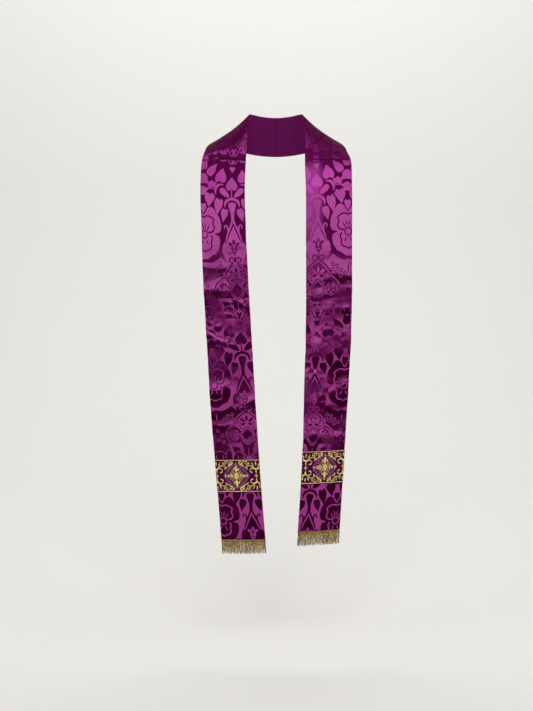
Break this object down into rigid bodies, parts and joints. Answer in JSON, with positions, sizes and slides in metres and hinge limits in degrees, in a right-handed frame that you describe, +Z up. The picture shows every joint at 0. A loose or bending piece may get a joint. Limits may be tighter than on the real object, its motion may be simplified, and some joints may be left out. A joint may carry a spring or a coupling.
{
  "type": "clerical stole",
  "caption": "Long damask band worn round the neck, its two ends hanging to the front, each with a gold-figured galloon and a fringed hem.",
  "frame": {"origin": "nape: the upper edge of the centre-back seam, where the back of the wearer's neck carries the stole", "axes": "+Z up, the wearer faces -Y, +X to the wearer's left"},
  "size_m": [0.4167, 0.2782, 1.2236],
  "materials": {
    "damask": "purple satin damask, glossy figures on a matt ground or the reverse with the light",
    "galloon": "purple woven trim with raised metallic gold thread figures",
    "fringe": "twisted metallic gold thread"
  },
  "bodies": {
    "root": {"neck_right": "damask", "neck_left": "damask", "band_right": "damask", "band_left": "damask", "galloon_right": "galloon", "galloon_left": "galloon", "fringe_right": "fringe", "fringe_left": "fringe"}
  },
  "joints": []
}
